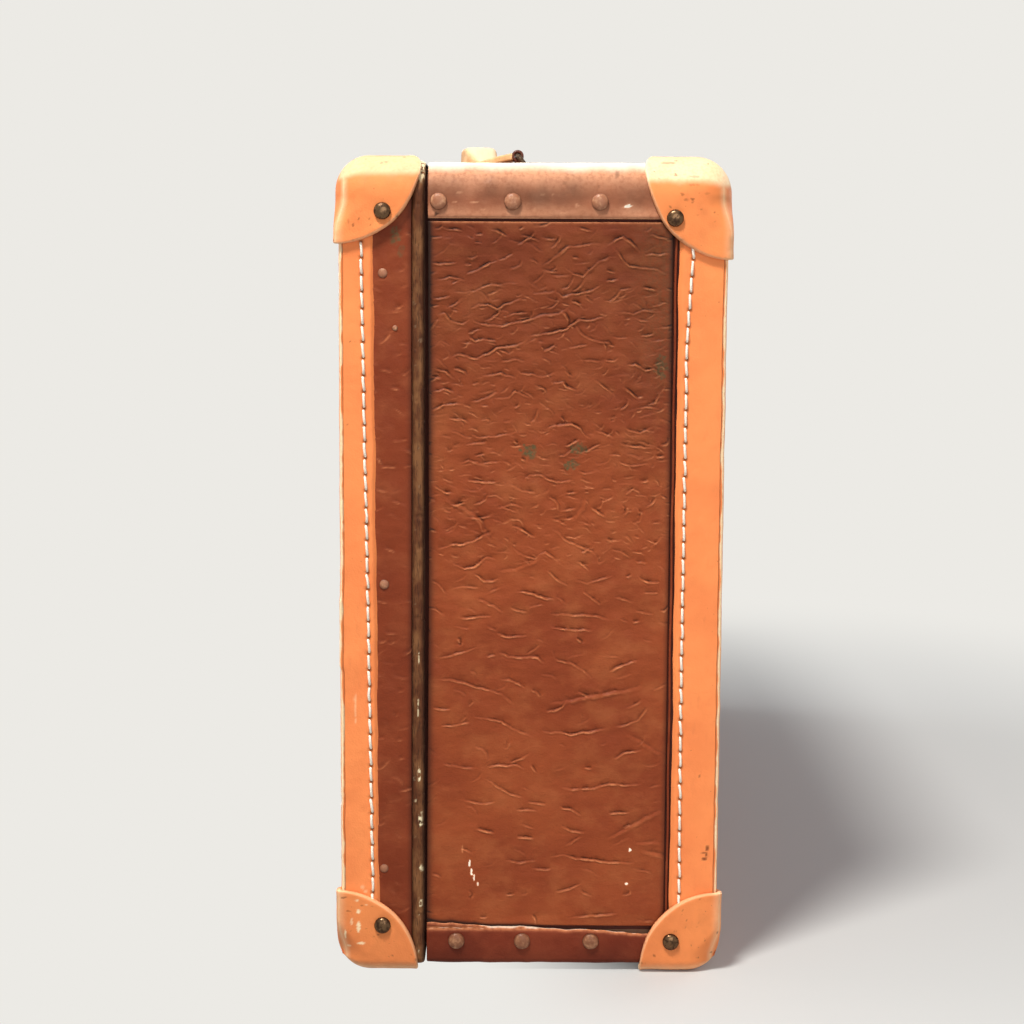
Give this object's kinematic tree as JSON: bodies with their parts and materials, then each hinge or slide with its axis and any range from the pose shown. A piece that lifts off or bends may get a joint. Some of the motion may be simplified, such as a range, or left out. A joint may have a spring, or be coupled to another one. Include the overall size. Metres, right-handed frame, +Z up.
{
  "type": "cardboard suitcase",
  "caption": "Rigid cardboard suitcase with stitched bindings, corner caps, hinged lid, folding handle and sliding-button locks with hasps.",
  "frame": {"origin": "under the middle of the closed case, on the surface that its bottom corner caps stand on", "axes": "+X along the case to its right end, +Y from the lid face to the back, +Z up from the hinges to the handle"},
  "size_m": [0.6036, 0.184, 0.4024],
  "materials": {
    "grey_board": null,
    "band_board": "thin fibre board of the strip inside the mouth",
    "grained_fibre": "reddish brown leather-grained fibre sheet, creased across, semi-matt",
    "tan_binding": "orange-tan fibre binding with cream edges and white lock stitch",
    "tan_cap": "orange-tan pressed leather corner caps, scuffed",
    "lid_bead": "brown lacquered fibre bead, worn to olive",
    "antique_brass": "dark aged brass rivet heads",
    "painted_rivet": "rivet heads painted with the case",
    "fitting_steel": "dull plated steel",
    "lock_brass": "aged brass pressings",
    "handle_leather": "pale tan leather, darker underneath"
  },
  "bodies": {
    "base": {"base_tray": "grey_board", "back_panel": "grained_fibre", "base_binding": "tan_binding", "base_top_wall": "grained_fibre", "base_bottom_wall": "grained_fibre", "mouth_band": "band_board", "base_end_panel_right": "grained_fibre", "base_end_panel_left": "grained_fibre", "base_cap_top_right": "tan_cap", "base_cap_top_left": "tan_cap", "base_cap_bottom_right": "tan_cap", "base_cap_bottom_left": "tan_cap", "hinge_base_leaf_right": "fitting_steel", "hinge_base_leaf_left": "fitting_steel", "hinge_pin_right": "fitting_steel", "hinge_pin_left": "fitting_steel", "handle_bracket_right": "fitting_steel", "handle_bracket_left": "fitting_steel", "lock_case_right": "lock_brass", "lock_case_left": "lock_brass", "top_rivet_right_1": "painted_rivet", "top_rivet_right_2": "painted_rivet", "top_rivet_right_3": "painted_rivet", "top_rivet_left_1": "painted_rivet", "top_rivet_left_2": "painted_rivet", "top_rivet_left_3": "painted_rivet", "bottom_rivet_right_1": "painted_rivet", "bottom_rivet_right_2": "painted_rivet", "bottom_rivet_right_3": "painted_rivet", "bottom_rivet_left_1": "painted_rivet", "bottom_rivet_left_2": "painted_rivet", "bottom_rivet_left_3": "painted_rivet", "base_cap_rivet_top_right": "antique_brass", "base_cap_rivet_top_left": "antique_brass", "base_cap_rivet_bottom_right": "antique_brass", "base_cap_rivet_bottom_left": "antique_brass"},
    "lid": {"lid_tray": "grey_board", "lid_panel": "grained_fibre", "lid_binding": "tan_binding", "lid_side_band": "grained_fibre", "lid_bead": "lid_bead", "lid_cap_top_right": "tan_cap", "lid_cap_top_left": "tan_cap", "lid_cap_bottom_right": "tan_cap", "lid_cap_bottom_left": "tan_cap", "lid_cap_rivet_top_right": "antique_brass", "lid_cap_rivet_top_left": "antique_brass", "lid_cap_rivet_bottom_right": "antique_brass", "lid_cap_rivet_bottom_left": "antique_brass", "hinge_lid_leaf_right": "fitting_steel", "hinge_lid_leaf_left": "fitting_steel", "hasp_plate_right": "lock_brass", "hasp_plate_left": "lock_brass"},
    "handle": {"handle_grip": "handle_leather", "handle_ring_right": "fitting_steel", "handle_ring_left": "fitting_steel"},
    "lock_slider_right": {"lock_slider_right": "lock_brass"},
    "hasp_right": {"hasp_right": "lock_brass"},
    "lock_slider_left": {"lock_slider_left": "lock_brass"},
    "hasp_left": {"hasp_left": "lock_brass"}
  },
  "joints": [
    {"name": "lid_hinge", "type": "hinge", "parent": "base", "child": "lid", "pos_m": [0, -0.04875, 0.0022], "axis": [1, 0, 0], "range_deg": [0, 110]},
    {"name": "handle_pivot", "type": "hinge", "parent": "base", "child": "handle", "pos_m": [0, 0, 0.3889], "axis": [-1, 0, 0], "range_deg": [0, 125]},
    {"name": "lock_slider_right_slide", "type": "slide", "parent": "base", "child": "lock_slider_right", "axis": [1, 0, 0], "range_m": [0, 0.007], "stiffness_N_per_m": 150},
    {"name": "hasp_right_hinge", "type": "hinge", "parent": "lid", "child": "hasp_right", "pos_m": [0.15, -0.0518, 0.38605], "axis": [1, 0, 0], "range_deg": [0, 160]},
    {"name": "lock_slider_left_slide", "type": "slide", "parent": "base", "child": "lock_slider_left", "axis": [-1, 0, 0], "range_m": [0, 0.007], "stiffness_N_per_m": 150},
    {"name": "hasp_left_hinge", "type": "hinge", "parent": "lid", "child": "hasp_left", "pos_m": [-0.15, -0.0518, 0.38605], "axis": [1, 0, 0], "range_deg": [0, 160]}
  ]
}
